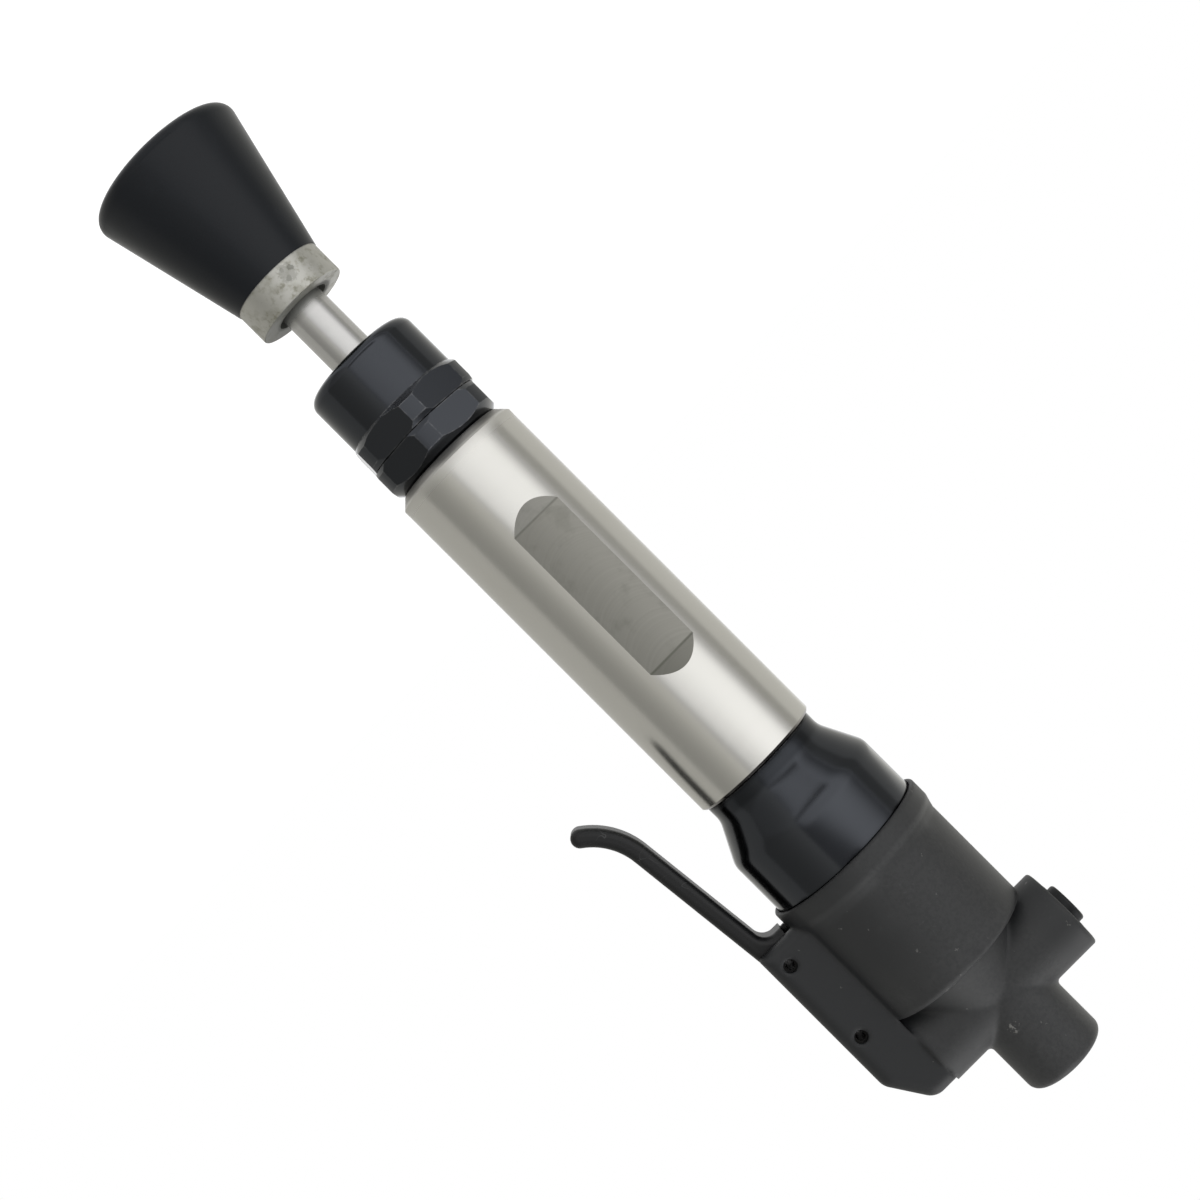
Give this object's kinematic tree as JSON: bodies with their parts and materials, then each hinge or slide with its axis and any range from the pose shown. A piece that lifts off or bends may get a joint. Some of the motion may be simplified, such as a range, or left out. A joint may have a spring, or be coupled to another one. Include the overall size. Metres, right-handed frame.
{
  "type": "pneumatic rammer",
  "caption": "Air powered hand rammer: rubber butt on a sliding rod, steel barrel with spanner flats, flared valve neck and a cast handle with a squeeze lever and threaded inlet.",
  "frame": {"origin": "centre of the butt's flat striking face, with the ram home", "axes": "+Z along the tool from the butt to the air inlet, +X towards the throttle lever"},
  "size_m": [0.0973, 0.0602, 0.3996],
  "materials": {
    "butt_rubber": "moulded satin black rubber",
    "core_steel": "turned and grey plated, stained",
    "rod_steel": "ground and polished",
    "ring_iron": "turned grey iron",
    "black_steel": "glossy black oxide",
    "seal_rubber": "matt black rubber",
    "packing_fibre": "pressed greased fibre",
    "bronze": "turned bronze",
    "barrel_steel": "satin turned steel with milled flats",
    "valve_steel": "hardened and ground",
    "handle_iron": "sand cast, painted matt charcoal",
    "lever_steel": "satin black",
    "pin_steel": "spring steel",
    "cap_steel": "dark phosphate"
  },
  "bodies": {
    "housing": {"gland_nut": "black_steel", "lock_nut": "black_steel", "rod_wiper": "seal_rubber", "rod_packing": "packing_fibre", "packing_spacer": "bronze", "rod_bush": "bronze", "head_gasket": "packing_fibre", "cylinder_barrel": "barrel_steel", "valve_housing": "black_steel", "housing_seal": "seal_rubber", "valve_chest": "valve_steel", "valve_cover": "valve_steel", "valve_dowels": "pin_steel", "cover_gasket": "packing_fibre", "handle_casting": "handle_iron", "inlet_strainer": "bronze", "lever_pin": "pin_steel", "rocker_pin": "pin_steel", "push_pin_seal": "seal_rubber", "throttle_seat": "bronze", "throttle_spring": "pin_steel", "throttle_cap": "cap_steel", "cap_seal": "seal_rubber"},
    "ram_rings": {"piston_rings": "ring_iron"},
    "ram": {"piston_rod": "rod_steel", "butt_core": "core_steel", "rubber_butt": "butt_rubber"},
    "lever": {"throttle_lever": "lever_steel"},
    "rocker": {"throttle_rocker": "lever_steel"},
    "throttle": {"throttle_valve": "valve_steel", "valve_facing": "seal_rubber", "throttle_push_pin": "rod_steel"},
    "shuttle": {"shuttle_valve": "valve_steel"}
  },
  "joints": [
    {"name": "ram_stroke", "type": "slide", "parent": "housing", "child": "ram_rings", "axis": [0, 0, -1], "range_m": [0, 0.075]},
    {"name": "ram_spin", "type": "hinge", "parent": "ram_rings", "child": "ram", "pos_m": [0, 0, 0], "axis": [0, 0, 1], "continuous": true},
    {"name": "lever_pivot", "type": "hinge", "parent": "housing", "child": "lever", "pos_m": [0.0374, 0, 0.3153], "axis": [0, 1, 0], "range_deg": [0, 8], "stiffness_Nm_per_rad": 0.8, "springref_deg": -17.19},
    {"name": "rocker_pivot", "type": "hinge", "parent": "housing", "child": "rocker", "pos_m": [0.0374, 0, 0.3461], "axis": [0, 1, 0], "range_deg": [-8, 0]},
    {"name": "throttle_slide", "type": "slide", "parent": "housing", "child": "throttle", "axis": [-1, 0, 0], "range_m": [0, 0.0027], "deforming": ["throttle_spring"]},
    {"name": "shuttle_slide", "type": "slide", "parent": "housing", "child": "shuttle", "axis": [0, 0, 1], "range_m": [0, 0.003]}
  ],
  "couplings": [
    {"joint": "rocker_pivot", "follows": "lever_pivot", "ratio": -1},
    {"joint": "throttle_slide", "follows": "lever_pivot", "m_per_rad": 0.0188}
  ]
}
